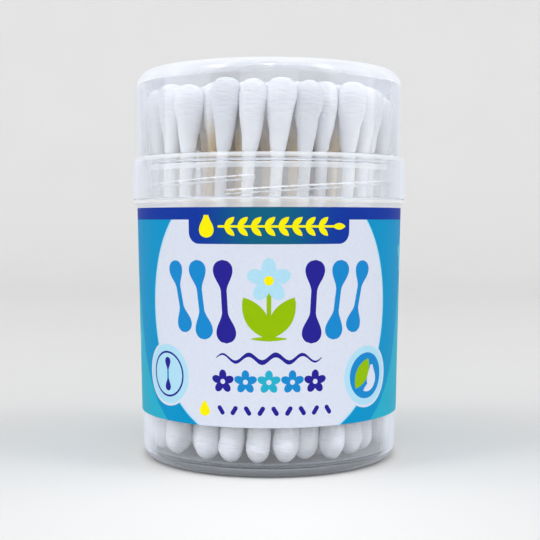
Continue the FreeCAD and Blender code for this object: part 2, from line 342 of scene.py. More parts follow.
def wound_cotton(name, crown_shade, crown_light, thin, thin_from, thin_to):
    """Cotton, white at the crown. From thin_from to thin_to mm below it, it takes on the stick's tone, thin."""
    material, tree, output = new_material(name)
    unrolled = add_node(tree, "ShaderNodeUVMap", settings={"uv_map": "millimetres"})
    along_fibre = add_node(
        tree,
        "ShaderNodeMapping",
        values={"Scale": (ALONG_PER_MM, ACROSS_PER_MM, 1.0)},
        links={"Vector": unrolled.outputs["UV"]},
    )
    windings = add_node(
        tree,
        "ShaderNodeTexNoise",
        values={"Scale": 1.0, "Detail": 4.0, "Roughness": 0.6},
        links={"Vector": along_fibre.outputs["Vector"]},
    )
    tone = add_node(tree, "ShaderNodeValToRGB", links={"Fac": windings.outputs["Fac"]})
    for stop, position, colour in zip(tone.color_ramp.elements, (0.3, 0.65), (crown_shade, crown_light)):
        stop.position, stop.color = position, linear(colour)
    place = add_node(tree, "ShaderNodeSeparateXYZ", links={"Vector": unrolled.outputs["UV"]})
    thinness = add_node(
        tree,
        "ShaderNodeMapRange",
        settings={"interpolation_type": "SMOOTHSTEP"},
        values={"From Min": thin_from, "From Max": thin_to, "To Max": 0.95},
        links={"Value": place.outputs["Y"]},
    )
    layered = add_node(
        tree,
        "ShaderNodeMix",
        settings={"data_type": "RGBA"},
        links={"Factor": thinness.outputs["Result"], "A": tone.outputs["Color"]},
    )
    layered.inputs["B"].default_value = linear(thin)
    relief = add_node(
        tree,
        "ShaderNodeBump",
        values={"Strength": 1.0, "Distance": WINDING_DEPTH},
        links={"Height": windings.outputs["Fac"]},
    )
    cotton = add_node(
        tree,
        "ShaderNodeBsdfPrincipled",
        values={
            "Roughness": 0.95,
            "Specular IOR Level": 0.15,
            "Sheen Weight": 0.25,
            "Sheen Roughness": 0.5,
            "Subsurface Weight": 0.3,
            "Subsurface Radius": (1.0, 0.8, 0.6),
            "Subsurface Scale": 0.5 * MM,
        },
        links={"Base Color": layered.outputs["Result"], "Normal": relief.outputs["Normal"]},
    )
    tree.links.new(cotton.outputs[0], output.inputs["Surface"])
    return material


# The inner row's cotton is painted greyer and warmer, and the middle and inner rows' thin cotton tan like their paper:
# painted shade and warm bounce light deep in the bundle.
WOUND_COTTON = {
    "outer": wound_cotton("wound cotton", "#DEE1E9", "#F7F8FC", "#EEEFF3", 4, 13),
    "middle": wound_cotton("wound cotton, middle of the bundle", "#DEE0E7", "#F4F5F8", "#CBAE76", 6, 14),
    "inner": wound_cotton("wound cotton, heart of the bundle", "#DCDBDA", "#EFEDEA", "#A38549", 1, 8),
}
print("made", [cotton.name for cotton in WOUND_COTTON.values()])

# %% [markdown]
# ## Where the swabs stand
# The CAD sticks are flat-sided rods, and each connected part of a stick node is one stick. Its axis runs from the
# middle of its lower end to the middle of its upper end. The round sticks and tips are then made about those axes.

# %% Stick axes
ROWS = ("outer", "middle", "inner")
TIP_COVER = 3.0 * MM  # how far the cotton reaches beyond the stick's end


def stick_axes(node):
    """(foot, head) of every swab in a stick node, where foot and head are the ends of its cotton."""
    work = bmesh.new()
    work.from_mesh(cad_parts[node].data)
    bmesh.ops.remove_doubles(work, verts=work.verts, dist=0.001 * MM)
    unseen = set(work.verts)
    axes = []
    while unseen:
        group, front = [], [next(v for v in work.verts if v in unseen)]
        unseen.discard(front[0])
        while front:
            vert = front.pop()
            group.append(vert.co.copy())
            for edge in vert.link_edges:
                other = edge.other_vert(vert)
                if other in unseen:
                    unseen.discard(other)
                    front.append(other)
        middle = sum((v.z for v in group)) / len(group)
        low = [v for v in group if v.z < middle]
        high = [v for v in group if v.z >= middle]
        foot = sum(low, Vector()) / len(low)
        head = sum(high, Vector()) / len(high)
        along = (head - foot).normalized()
        axes.append((foot - along * TIP_COVER, head + along * TIP_COVER))
    work.free()
    return sorted(axes, key=lambda pair: (round(pair[0].x, 5), round(pair[0].y, 5)))


AXES = {row: stick_axes(f"swab_sticks_{row}") for row in ROWS}
print("swabs in each row", {row: len(axes) for row, axes in AXES.items()})

# %% [markdown]
# ## A helper that winds a skin round an axis
# Sticks and tips are both round forms along a slanting axis. The helper takes rings as pairs of distance along the
# axis and radius, lays quads between them, closes the ends and notes each corner's place on the unrolled skin in
# millimetres, so that a pattern can be drawn at its true size. A second helper turns a bmesh into a finished piece.


# %% Skins round axes
def add_skin(work, unrolled, start, along, rings, sides, wobble=None):
    """Adds a round closed skin to a bmesh. wobble(turn, distance, radius) may change a corner's radius."""
    across = along.orthogonal().normalized()
    other = along.cross(across)
    loops = []
    for distance, radius in rings:
        loop = []
        for side in range(sides):
            turn = 2 * math.pi * side / sides
            reach = wobble(turn, distance, radius) if wobble else radius
            out = across * math.cos(turn) + other * math.sin(turn)
            loop.append(work.verts.new(start + along * distance + out * reach))
        loops.append(loop)
    widest = max(radius for _, radius in rings)
    for row in range(len(rings) - 1):
        for side in range(sides):
            after = (side + 1) % sides
            face = work.faces.new(
                (loops[row][side], loops[row][after], loops[row + 1][after], loops[row + 1][side])
            )
            face.smooth = True
            for corner, (step, ring) in zip(
                face.loops, ((0, row), (1, row), (1, row + 1), (0, row + 1))
            ):
                around = 2 * math.pi * widest * (side + step) / sides / MM
                corner[unrolled].uv = (around, rings[ring][0] / MM)
    for loop in (loops[0], loops[-1]):
        cap = work.faces.new(loop)
        cap.smooth = True
        for corner in cap.loops:
            corner[unrolled].uv = (0.0, 0.0)


def finished_piece(name, work, material, body, slot, *nodes):
    """Turns a bmesh into a piece that rides on a body and stands for CAD nodes."""
    bmesh.ops.recalc_face_normals(work, faces=work.faces)
    mesh = bpy.data.meshes.new(name)
    work.to_mesh(mesh)
    work.free()
    piece = bpy.data.objects.new(name, mesh)
    bpy.context.scene.collection.objects.link(piece)
    for each in material if isinstance(material, list) else [material]:
        mesh.materials.append(each)
    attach(piece, body)
    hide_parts(*nodes)
    print(name, "faces", len(mesh.polygons))
    return piece


# %% [markdown]
# ## The sticks
# Each stick is a plain round rod. Its ends are hidden in the cotton.

# %% Sticks
STICK_RADIUS = 1.15 * MM
STICK_SIDES = 16
for row in ROWS:
    work = bmesh.new()
    unrolled = work.loops.layers.uv.new("millimetres")
    for foot, head in AXES[row]:
        along = (head - foot).normalized()
        length = (head - foot).length - 2 * TIP_COVER
        rings = [(length * step / 4, STICK_RADIUS) for step in range(5)]
        add_skin(work, unrolled, foot + along * TIP_COVER, along, rings, STICK_SIDES)
    finished_piece(
        f"sticks_{row}", work, ROLLED_PAPER[row], "tub", "stick_paper", f"swab_sticks_{row}"
    )

# %% [markdown]
# ## The cotton tips
# A tip is a long teardrop: a full round end, widest a few millimetres in, then a slow taper down to the stick. No two
# are wound quite alike, so seeded noise makes some fuller, some slimmer, and each a little uneven.

# %% The teardrop of a tip
CROWN_LENGTH = 3.5  # from the crown's end to the widest place, in millimetres
CROWN_STEPS = 9
BELLY_RADIUS = 2.6
TAPER = (  # distance from the crown's end and radius, in millimetres
    (4.4, 2.56),
    (5.6, 2.44),
    (7.0, 2.24),
    (8.6, 2.00),
    (10.3, 1.77),
    (12.0, 1.57),
    (13.4, 1.44),
    (14.6, 1.28),
    (15.6, 1.18),
)
FULLNESS = {"lower": (0.94, 1.04), "upper": (1.12, 1.26)}
BLUNTNESS = {"lower": (1.8, 2.1), "upper": (2.3, 3.0)}  # 2 is an oval crown, more is a squarer one
SHORTNESS = {"lower": (0.0, 0.2), "upper": (0.0, 0.9)}
STRETCH = (0.95, 1.06)
TIP_SIDES = 28
TIP_SEED = 41
LUMP_SIZE, LUMP_DEPTH = 3.0 * MM, 0.14  # how far apart the large lumps are, and their share of the radius
TUFT_SIZE, TUFT_DEPTH = 1.1 * MM, 0.035  # and the same for the small ones
SMOOTH_BELOW = STICK_RADIUS * 0.9  # the crown's very end stays smooth
SMOOTH_FADE = 0.6 * MM


def tip_rings(fullness, stretch, blunt, short):
    """Rings of one tip from its crown to its open end. short is how far the crown falls back, in millimetres."""
    rings = []
    for step in range(1, CROWN_STEPS + 1):
        turn = math.pi / 2 * step / CROWN_STEPS
        share = math.sin(turn) ** (2 / blunt)
        rings.append((CROWN_LENGTH * (1 - math.cos(turn) ** (2 / blunt)), BELLY_RADIUS * share))
    rings += TAPER
    thick = STICK_RADIUS / MM
    return [
        ((short + s * stretch) * MM, (r if r < thick else thick + (r - thick) * fullness) * MM)
        for s, r in rings
    ]


def add_tip(work, unrolled, crown, along, luck, end):
    """One wound tip, from its crown along the stick."""
    fullness = luck.uniform(*FULLNESS[end])
    stretch = luck.uniform(*STRETCH)
    blunt = luck.uniform(*BLUNTNESS[end])
    seat = Vector((luck.uniform(0, 9), luck.uniform(0, 9), luck.uniform(0, 9)))

    def uneven(turn, distance, radius):
        if radius < SMOOTH_BELOW:
            return radius
        skin = Vector((math.cos(turn) * radius, math.sin(turn) * radius, distance))
        lump = noise.noise(skin / LUMP_SIZE + seat)
        tuft = noise.noise(skin / TUFT_SIZE - seat)
        fade = min(1.0, (radius - SMOOTH_BELOW) / SMOOTH_FADE)
        return radius * (1 + fade * (LUMP_DEPTH * lump + TUFT_DEPTH * tuft))

    rings = tip_rings(fullness, stretch, blunt, luck.uniform(*SHORTNESS[end]))
    add_skin(work, unrolled, crown, along, rings, TIP_SIDES, uneven)


# %% Tips
for row in ROWS:
    for end in ("lower", "upper"):
        luck = random.Random(f"{TIP_SEED} {row} {end}")
        work = bmesh.new()
        unrolled = work.loops.layers.uv.new("millimetres")
        for foot, head in AXES[row]:
            upwards = (head - foot).normalized()
            crown, along = (foot, upwards) if end == "lower" else (head, -upwards)
            add_tip(work, unrolled, crown, along, luck, end)
        node = f"cotton_tips_{end}_{row}"
        finished_piece(f"tips_{end}_{row}", work, WOUND_COTTON[row], "tub", "cotton", node)

# %% [markdown]
# ## Turned sections with rounded corners
# The tub and the lid are round mouldings, so each is one outline turned round the upright axis. The corners of a
# moulding are never sharp: a helper replaces each corner by a small arc.


# %% Rounded outlines
END_STRIP = 0.12  # millimetres
LONGEST_SIDE = 6.0
NECK_SIDE = 0.12  # the neck's rows are fine enough to carry the threads


def rounded(corners, steps=6):
    """Points along an open outline of (radius, height, rounding) corners in millimetres."""
    points = []
    for n, (r, z, bend) in enumerate(corners):
        here = Vector((r, z))
        if not bend or n in (0, len(corners) - 1):
            points.append(here)
            continue
        back = Vector(corners[n - 1][:2]) - here
        on = Vector(corners[n + 1][:2]) - here
        half = back.angle(on) / 2
        reach = bend / math.tan(half)
        start = here + back.normalized() * reach
        centre = here + (back.normalized() + on.normalized()).normalized() * bend / math.sin(half)
        arm = start - centre
        sweep = math.pi - 2 * half
        if arm.x * on.y - arm.y * on.x < 0:
            sweep = -sweep
        for step in range(steps + 1):
            turn = sweep * step / steps
            points.append(
                centre
                + Vector(
                    (
                        arm.x * math.cos(turn) - arm.y * math.sin(turn),
                        arm.x * math.sin(turn) + arm.y * math.cos(turn),
                    )
                )
            )
    return points


def refined(points, longest):
    """The same outline with extra points, so that no side is longer than given.

    A long side also gets a point close to each end. Smooth shading blends across whole faces, so without these narrow
    ones the corners' roundness would bend the light all over the side.
    """
    out = [points[0]]
    for here, after in zip(points, points[1:]):
        length = (after - here).length
        pieces = max(1, math.ceil(length / longest))
        shares = {step / pieces for step in range(1, pieces + 1)}
        if length > 1.0:
            shares |= {END_STRIP / length, 1 - END_STRIP / length}
        out += [here.lerp(after, share) for share in sorted(shares)]
    return out


def turned(points, sides, finish_at, finishes, relief=None):
    """A bmesh turned from an outline in millimetres that starts and ends on the axis.

    finish_at(angle, point) names a face's finish, one of finishes, and relief(angle, point) moves a corner outwards.
    """
    numbers = {finish: number for number, finish in enumerate(finishes)}
    work = bmesh.new()
    rows = []
    for point in points:
        if abs(point.x) < 1e-6:
            rows.append([work.verts.new((0, 0, point.y * MM))])
            continue
        row = []
        for side in range(sides):
            angle = 2 * math.pi * side / sides
            reach = point.x + (relief(angle, point) if relief else 0)
            row.append(
                work.verts.new(
                    (reach * math.cos(angle) * MM, reach * math.sin(angle) * MM, point.y * MM)
                )
            )
        rows.append(row)
    for low, high in zip(rows, rows[1:]):
        for side in range(sides):
            after = (side + 1) % sides
            ring = (
                low[side % len(low)],
                low[after % len(low)],
                high[after % len(high)],
                high[side % len(high)],
            )
            face = work.faces.new(list(dict.fromkeys(ring)))
            face.smooth = True
            middle = face.calc_center_median() / MM
            face.material_index = numbers[finish_at(math.atan2(middle.y, middle.x), middle)]
    return work


# %% [markdown]
# ## The tub
# Only a ring round the underside touches the table, and the heel above it is well rounded. The wall widens a little
# up to the ledge that carries the lid. The neck above has four raised threads that climb to the right.

# %% Tub sizes
BODY_RADIUS = 28.0
BODY_TAPER = 1.05
SHOULDER = 52.8
TUB_WALL = 0.8
LEDGE_TOP = 54.3
LEDGE_RADIUS = 28.9
NECK_RADIUS = 27.2
NECK_BORE = 26.3
RIM = 61.5
FLOOR = 2.3
FOOT_HEIGHT = 0.8
FOOT_INNER = 23.4
HEEL_ROUND = 2.8
TUB_SIDES = 240
THREAD_STARTS = 4
THREAD_LEAD = 10.4
THREAD_TURN = 102.0
THREAD_FIRST = 162.0
THREAD_DEPTH = 0.5
THREAD_WIDTH = 1.0
THREAD_START = LEDGE_TOP + 1.3
THREAD_FLANK = 0.45  # the share of a thread's half width that slopes
THREAD_FADE = 3.0  # degrees over which a thread's ends rise
print("neck with", THREAD_STARTS, "threads,", round(2 * NECK_RADIUS, 1), "mm across")


def wall_radius(height):
    """Outer radius of the tapered wall at a height, in millimetres."""
    return BODY_RADIUS - BODY_TAPER * (1 - height / SHOULDER)


def off_thread(angle, height):
    """(how far a point of the neck is from the nearest thread's middle, in half widths, and how full the thread is)."""
    nearest = (9.0, 0.0)
    for start in range(THREAD_STARTS):
        along = (math.degrees(angle) - THREAD_FIRST - 360 / THREAD_STARTS * start) % 360
        if along > THREAD_TURN:
            continue
        middle = THREAD_START + THREAD_LEAD * along / 360
        off = abs(height - middle) / (THREAD_WIDTH / 2)
        ends = min(1.0, along / THREAD_FADE, (THREAD_TURN - along) / THREAD_FADE)
        nearest = min(nearest, (off, ends))
    return nearest


def thread_relief(angle, point):
    """How far the thread stands out of the neck at an angle and a height, in millimetres."""
    if point.x < NECK_RADIUS - 0.1 or not LEDGE_TOP + 0.3 < point.y < RIM - 0.3:
        return 0.0
    off, ends = off_thread(angle, point.y)
    return THREAD_DEPTH * ends * min(1.0, max(0.0, (1 - off) / THREAD_FLANK))


# %% Where each finish of the tub lies
CLOSE = 0.05  # places nearer than this count as one, in millimetres
RIM_EDGE = 0.15
RIM_BAND = 1.1
LEDGE_BAND = 1.6
LEDGE_SEAT = 0.2
FOOT_BAND = 1.5


def tub_finish(angle, middle):
    """The finish of the tub at a point in millimetres. A thread's long edges get the rim edge's painted highlight."""
    if middle.z < FLOOR + CLOSE:
        below = middle.xy.length > FOOT_INNER - FOOT_BAND and middle.z < FLOOR - 2 * CLOSE
        return "foot" if below else "floor"
    if middle.z < LEDGE_TOP - LEDGE_BAND:
        return "wall"
    if middle.z > RIM - RIM_EDGE:
        return "edge"
    if middle.z > RIM - RIM_BAND or middle.z < LEDGE_TOP + LEDGE_SEAT:
        return "rim"
    if middle.xy.length < NECK_RADIUS - CLOSE:
        return "neck"
    off, ends = off_thread(angle, middle.z)
    return "edge" if ends > 0.2 and THREAD_FLANK < off < 1 + CLOSE else "neck"


# %% Tub
outside = [
    (0, FOOT_HEIGHT, 0),
    (FOOT_INNER - FOOT_HEIGHT, FOOT_HEIGHT, 0.5),
    (FOOT_INNER, 0, 0.3),
    (wall_radius(0), 0, HEEL_ROUND),
    (BODY_RADIUS, SHOULDER, 0.2),
    (LEDGE_RADIUS, SHOULDER + 0.9, 0.2),
    (LEDGE_RADIUS, LEDGE_TOP, 0.2),
    (NECK_RADIUS, LEDGE_TOP, 0.2),
]
neck = [(NECK_RADIUS, LEDGE_TOP + 0.3, 0), (NECK_RADIUS, RIM - 0.4, 0)]
inside = [
    (NECK_RADIUS, RIM - 0.4, 0),
    (NECK_RADIUS, RIM, 0.3),
    (NECK_BORE, RIM, 0.3),
    (NECK_BORE, SHOULDER, 0.4),
    (BODY_RADIUS - TUB_WALL, SHOULDER - 0.9, 0.4),
    (wall_radius(FLOOR) - TUB_WALL, FLOOR, 0.7),
    (0, FLOOR, 0),
]
tub_outline = refined(rounded(outside), LONGEST_SIDE)
tub_outline += refined([Vector(p[:2]) for p in neck], NECK_SIDE)
tub_outline += refined(rounded(inside), LONGEST_SIDE)[1:]
finished_piece(
    "tub_shell",
    turned(tub_outline, TUB_SIDES, tub_finish, POLYESTER, thread_relief),
    list(POLYESTER.values()),
    "tub",
    "clear_plastic",
    "tub",
)

# %% [markdown]
# ## The lid
# A skirt goes over the neck, a sloping step leads to the slightly narrower upper wall, and a round crown leads to
# the flat top. The wall is even all over, as injection mouldings are best made.

# %% Lid sizes
SKIRT_BORE = 28.0
SKIRT_CEILING = 61.8
SKIRT_TOP = 62.7
UPPER_RADIUS = 28.1
LID_BORE = 27.2
LID_CEILING = 80.65
LID_TOP = 81.55
CROWN_ROUND = 3.2
LID_WALL = 0.9
LID_SIDES = 192
STEP_RISE = 0.6
LID_BOTTOM = LEDGE_TOP + 0.05  # just clear of the ledge, so that two clear faces never lie in one plane
LOWER_EDGE = 0.25
print("lid", round(LID_TOP - LID_BOTTOM, 2), "mm tall")

# %% Lid
lid_outline = rounded(
    [
        (0, LID_TOP, 0),
        (UPPER_RADIUS, LID_TOP, CROWN_ROUND),
        (UPPER_RADIUS, SKIRT_TOP + STEP_RISE, 0.6),
        (LEDGE_RADIUS, SKIRT_TOP, 0.5),
        (LEDGE_RADIUS, LID_BOTTOM, 0.2),
        (SKIRT_BORE, LID_BOTTOM, 0.2),
        (SKIRT_BORE, SKIRT_CEILING, 0.3),
        (LID_BORE, SKIRT_CEILING, 0.3),
        (LID_BORE, LID_CEILING, CROWN_ROUND - LID_WALL),
        (0, LID_CEILING, 0),
    ],
    8,
)


def lid_finish(angle, middle):
    """The finish of the lid at a point in millimetres."""
    if middle.z < LEDGE_TOP + LOWER_EDGE:
        return "lower edge"
    if middle.z > LID_TOP - CROWN_ROUND:
        return "crown"
    if SKIRT_CEILING - 2 * CLOSE < middle.z < SKIRT_TOP + STEP_RISE:
        return "step"
    return "skirt" if middle.z < SKIRT_CEILING else "upper wall"


finished_piece(
    "lid_shell",
    turned(refined(lid_outline, LONGEST_SIDE), LID_SIDES, lid_finish, POLYPROPYLENE),
    list(POLYPROPYLENE.values()),
    "lid",
    "milky_plastic",
    "lid",
)

# %% [markdown]
# ## The printed label
# The label is one strip of film wrapped round the body, and its ends overlap at the back. Its print is drawn as flat
# shapes in unrolled millimetres: x runs round the tub from the middle of the front, and y is the height. Delaunay
# triangulation cuts the strip along every shape's outline, so each ink has crisp edges at any distance, and the cut
# strip is then wrapped onto the tapered wall.

# %% Inks
INKS = {
    "cyan_ink": "#028DC0",
    "teal_ink": "#24A7C3",
    "pale_teal_ink": "#53B7D2",
    "navy_ink": "#0D3397",
    "white_ink": "#D0D6E4",
    "pale_ink": "#A9D5E8",
    "blue_ink": "#1583C6",
    "deep_ink": "#24208C",
    "green_ink": "#8DB600",
    "yellow_ink": "#F2E600",
    "film_back": "#DADFE6",
}
BAND_MIDDLE = "#0C5C7C"  # the navy band's colour at the middle of the front and of the back


def printed_film(ink, hex_colour):
    """Printed polypropylene film, barely glossy. The eye takes the ink's specks, drawn coarser than real, as a tone."""
    material, tree, output = new_material(f"printed film, {ink.replace('_', ' ')}")
    place = add_node(tree, "ShaderNodeTexCoord")
    speck = add_node(
        tree,
        "ShaderNodeTexNoise",
        values={"Scale": 1 / (0.6 * MM), "Detail": 2.0},
        links={"Vector": place.outputs["Object"]},
    )
    tone = add_node(
        tree, "ShaderNodeMix", settings={"data_type": "RGBA"}, links={"Factor": speck.outputs["Fac"]}
    )
    full = linear(hex_colour)
    tone.inputs["A"].default_value = tuple(c * 0.94 for c in full[:3]) + (1.0,)
    tone.inputs["B"].default_value = tuple(min(1.0, c * 1.05) for c in full[:3]) + (1.0,)
    colour = tone.outputs["Result"]
    if ink == "navy_ink":
        # The band is printed as a blend: navy at the sides and a greener blue at the middle.
        axes = add_node(tree, "ShaderNodeSeparateXYZ", links={"Vector": place.outputs["Object"]})
        aside = add_node(
            tree, "ShaderNodeMath", settings={"operation": "ABSOLUTE"}, links={0: axes.outputs["X"]}
        )
        share = add_node(
            tree,
            "ShaderNodeMapRange",
            settings={"interpolation_type": "SMOOTHSTEP"},
            values={"From Min": 2.0 * MM, "From Max": 15.0 * MM},
            links={"Value": aside.outputs["Value"]},
        )
        blend = add_node(
            tree,
            "ShaderNodeMix",
            settings={"data_type": "RGBA"},
            links={"Factor": share.outputs["Result"], "B": colour},
        )
        blend.inputs["A"].default_value = linear(BAND_MIDDLE)
        colour = blend.outputs["Result"]
    cockle = add_node(
        tree,
        "ShaderNodeTexNoise",
        values={"Scale": 1 / (14 * MM), "Detail": 1.0},
        links={"Vector": place.outputs["Object"]},
    )
    bump = add_node(
        tree,
        "ShaderNodeBump",
        values={"Strength": 0.2, "Distance": 0.1 * MM},
        links={"Height": cockle.outputs["Fac"]},
    )
    film = add_node(
        tree,
        "ShaderNodeBsdfPrincipled",
        values={"Roughness": 0.5, "IOR": POLYPROPYLENE_IOR, "Specular IOR Level": 0.06},
        links={"Base Color": colour, "Normal": bump.outputs["Normal"]},
    )
    tree.links.new(film.outputs[0], output.inputs["Surface"])
    return material


FILM = [printed_film(ink, colour) for ink, colour in INKS.items()]
INK = {ink: number for number, ink in enumerate(INKS)}
print("inks", list(INK))

# %% [markdown]
# ## Shapes to print with
# A few helpers give closed outlines: circles and ovals, bars with round ends, leaves, drops and small swab pictures.


# %% Outline helpers
def oval(x, y, wide, tall, points=64):
    return [
        (
            x + wide * math.cos(2 * math.pi * n / points),
            y + tall * math.sin(2 * math.pi * n / points),
        )
        for n in range(points)
    ]


def placed(shape, x, y, degrees, scale=1.0):
    """The outline scaled and turned about its own origin, then moved."""
    turn = math.radians(degrees)
    return [
        (
            x + scale * (px * math.cos(turn) - py * math.sin(turn)),
            y + scale * (px * math.sin(turn) + py * math.cos(turn)),
        )
        for px, py in shape
    ]


def capsule(length, wide):
    """A bar with round ends along x, centred on its origin."""
    half, bend = length / 2 - wide / 2, wide / 2
    right = [
        (half + bend * math.sin(a), bend * math.cos(a))
        for a in (math.pi * n / 10 for n in range(11))
    ]
    return right + [(-px, -py) for px, py in right]


def leaf(length, wide):
    """A pointed leaf along x from its stalk at the origin."""
    steps = 14
    upper = [
        (length * n / steps, wide / 2 * math.sin(math.pi * n / steps) ** 0.8)
        for n in range(steps + 1)
    ]
    return upper + [(px, -py) for px, py in reversed(upper[1:-1])]


def teardrop(length, wide):
    """A swab's tip along +y from its narrow end at the origin to its round crown."""
    steps = 22
    right = []
    for n in range(steps + 1):
        part = n / steps
        spread = 0.32 + 0.68 * math.sin(math.pi / 2 * min(1.0, part / 0.66)) ** 1.6
        if part > 0.66:
            spread = math.sqrt(max(0.0, 1 - ((part - 0.66) / 0.34) ** 2))
        right.append((wide / 2 * spread, length * part))
    return right + [(-px, py) for px, py in reversed(right) if px > 1e-6]


# %% [markdown]
# ## The layout of the label
# The fields come first, each drawn over the last: teal ends, a cyan middle, a big white oval, a navy band with a tab
# on the front, and two pale discs. The motifs are plain ones that suit cotton swabs: swabs, cotton bolls, leaves,
# drops and waves.

# %% Layout
LABEL_BOTTOM = 10.1
LABEL_TOP = 52.7
LABEL_MIDDLE_RADIUS = wall_radius((LABEL_BOTTOM + LABEL_TOP) / 2) + 0.15
ROUND = 2 * math.pi * LABEL_MIDDLE_RADIUS
OVERLAP = math.radians(14) * LABEL_MIDDLE_RADIUS
LABEL_END = (ROUND + OVERLAP) / 2
BAND = 2.4
TAB_HALF = 16.4
TAB_DEPTH = 7.1
PRINT = []  # outlines with their ink, later ones lie over earlier ones
print("label strip", round(2 * LABEL_END, 1), "mm long and", round(LABEL_TOP - LABEL_BOTTOM, 1), "mm high")


def draw(ink, shape):
    PRINT.append((ink, shape))


def band_and_tab():
    low, tab = LABEL_TOP - BAND, LABEL_TOP - TAB_DEPTH
    corner = [
        (TAB_HALF - 2.3 + 2.3 * math.cos(a), tab + 2.3 + 2.3 * math.sin(a))
        for a in (-math.pi / 2 * n / 8 for n in range(9))
    ]
    right = [(LABEL_END + 1, LABEL_TOP + 1), (LABEL_END + 1, low), (TAB_HALF, low), *corner]
    return right + [(-px, py) for px, py in reversed(right)]


def swab_picture(x, y, degrees, tall, ink, stick_ink):
    """A two-ended swab standing on its lower tip, as a flat picture."""
    tip_tall, tip_wide, stick_wide = tall * 0.36, tall * 0.25, tall * 0.075
    stick = [
        (stick_wide / 2, tip_tall * 0.7),
        (stick_wide / 2, tall - tip_tall * 0.7),
        (-stick_wide / 2, tall - tip_tall * 0.7),
        (-stick_wide / 2, tip_tall * 0.7),
    ]
    draw(stick_ink, placed(stick, x, y, degrees))
    top = [(px, py + tall - tip_tall) for px, py in teardrop(tip_tall, tip_wide)]
    foot = [(px, tip_tall - py) for px, py in teardrop(tip_tall, tip_wide)]
    draw(ink, placed(top, x, y, degrees))
    draw(ink, placed(foot, x, y, degrees))


def boll(x, y, wide, ink, core_ink, petals=5):
    """A cotton boll seen from above: round petals about a small core."""
    for n in range(petals):
        degrees = 90 + 360 / petals * n
        turn = math.radians(degrees)
        px, py = x + wide * 0.29 * math.cos(turn), y + wide * 0.29 * math.sin(turn)
        draw(ink, placed(oval(0, 0, wide * 0.23, wide * 0.17, 20), px, py, degrees))
    draw(core_ink, oval(x, y, wide * 0.11, wide * 0.11, 16))


def wave(x0, x1, y, swing, waves, thick, ink):
    """A ribbon that swings up and down along x, thinner towards its ends."""
    steps = 12 * waves
    upper, lower = [], []
    for n in range(steps + 1):
        part = n / steps
        rise = y + swing * math.sin(2 * math.pi * waves * part)
        half = thick / 2 * (0.25 + 0.75 * math.sin(math.pi * part))
        upper.append((x0 + (x1 - x0) * part, rise + half))
        lower.append((x0 + (x1 - x0) * part, rise - half))
    draw(ink, upper + lower[::-1])


# %% Fields
OVAL = (0.0, 33.0, 26.8, 27.0)
TEAL_EDGE = ((22, 9), (26.5, 13), (30, 17.5), (32.5, 22), (34.5, 28), (37, 36), (41, 46), (45, 54))
for side in (-1, 1):
    edge = [(side * x, y) for x, y in TEAL_EDGE]
    far = [(side * (LABEL_END + 1), LABEL_TOP + 1), (side * (LABEL_END + 1), LABEL_BOTTOM - 1)]
    draw("teal_ink", edge + far)
draw("pale_ink", oval(OVAL[0], OVAL[1], OVAL[2] + 0.35, OVAL[3] + 0.35, 96))
draw("white_ink", oval(*OVAL, 96))
draw("navy_ink", band_and_tab())

# %% Motifs round the sides and the back
for x, y, wide in (
    (39.5, 43.0, 8.0),
    (-39.5, 25.0, 7.0),
    (52.0, 22.0, 9.5),
    (-53.0, 41.0, 9.5),
    (66.0, 39.0, 8.0),
    (-67.0, 20.0, 8.0),
    (80.0, 22.0, 9.5),
    (-80.0, 36.0, 9.0),
):
    boll(x, y, wide, "pale_teal_ink", "teal_ink")

# %% Discs
LEFT_DISC, RIGHT_DISC = (-22.9, 19.5), (21.7, 19.3)
for disc in (LEFT_DISC, RIGHT_DISC):
    draw("white_ink", oval(*disc, 6.4, 6.4))
    draw("pale_ink", oval(*disc, 5.95, 5.95))
# The left disc holds a little swab in a thin ring, and the right one leaves and a drop on a round field.
x, y = LEFT_DISC
draw("deep_ink", oval(x, y, 4.6, 4.6, 48))
draw("pale_ink", oval(x, y, 4.2, 4.2, 48))
swab_picture(x, y - 3.4, 0, 6.8, "deep_ink", "blue_ink")
x, y = RIGHT_DISC
draw("blue_ink", oval(x, y, 4.6, 4.6, 48))
draw("green_ink", placed(leaf(6.8, 3.4), x - 3.0, y - 2.4, 58))
draw("white_ink", placed(teardrop(4.4, 2.8), x + 1.6, y + 2.0, 180))
draw("white_ink", placed(leaf(3.8, 1.6), x - 0.8, y - 3.0, 20))

# %% The motif on the front
for side in (-1, 1):
    for x, y, degrees, tall, ink in (
        (8.3, 26.4, 3, 16.2, "deep_ink"),
        (12.9, 27.0, 7, 15.6, "blue_ink"),
        (17.4, 28.2, 12, 14.4, "blue_ink"),
    ):
        swab_picture(side * x, y, -side * degrees, tall, ink, ink)
wave(-3.4, 3.4, 27.4, 0.0, 1, 0.9, "green_ink")
draw("green_ink", placed(leaf(9.4, 4.2), 0.0, 27.4, 122))
draw("green_ink", placed(leaf(9.4, 4.2), 0.0, 27.4, 58))
draw("green_ink", placed(capsule(10.0, 0.9), 0.0, 32.0, 90))
boll(0.0, 38.6, 8.4, "pale_ink", "yellow_ink")

# %% Waves, bolls and leaves below it
wave(-10.5, 10.5, 23.6, 0.75, 4, 1.0, "deep_ink")
for n, ink in enumerate(("deep_ink", "blue_ink", "teal_ink", "blue_ink", "deep_ink")):
    boll(-9.2 + 4.6 * n, 19.0, 4.5, ink, "white_ink")
draw("yellow_ink", placed(teardrop(2.9, 2.3), -13.2, 14.9, 180))
for n in range(9):
    draw("deep_ink", placed(capsule(2.0, 0.9), -9.6 + 2.7 * n, 13.4, 58 if n % 2 else 122))

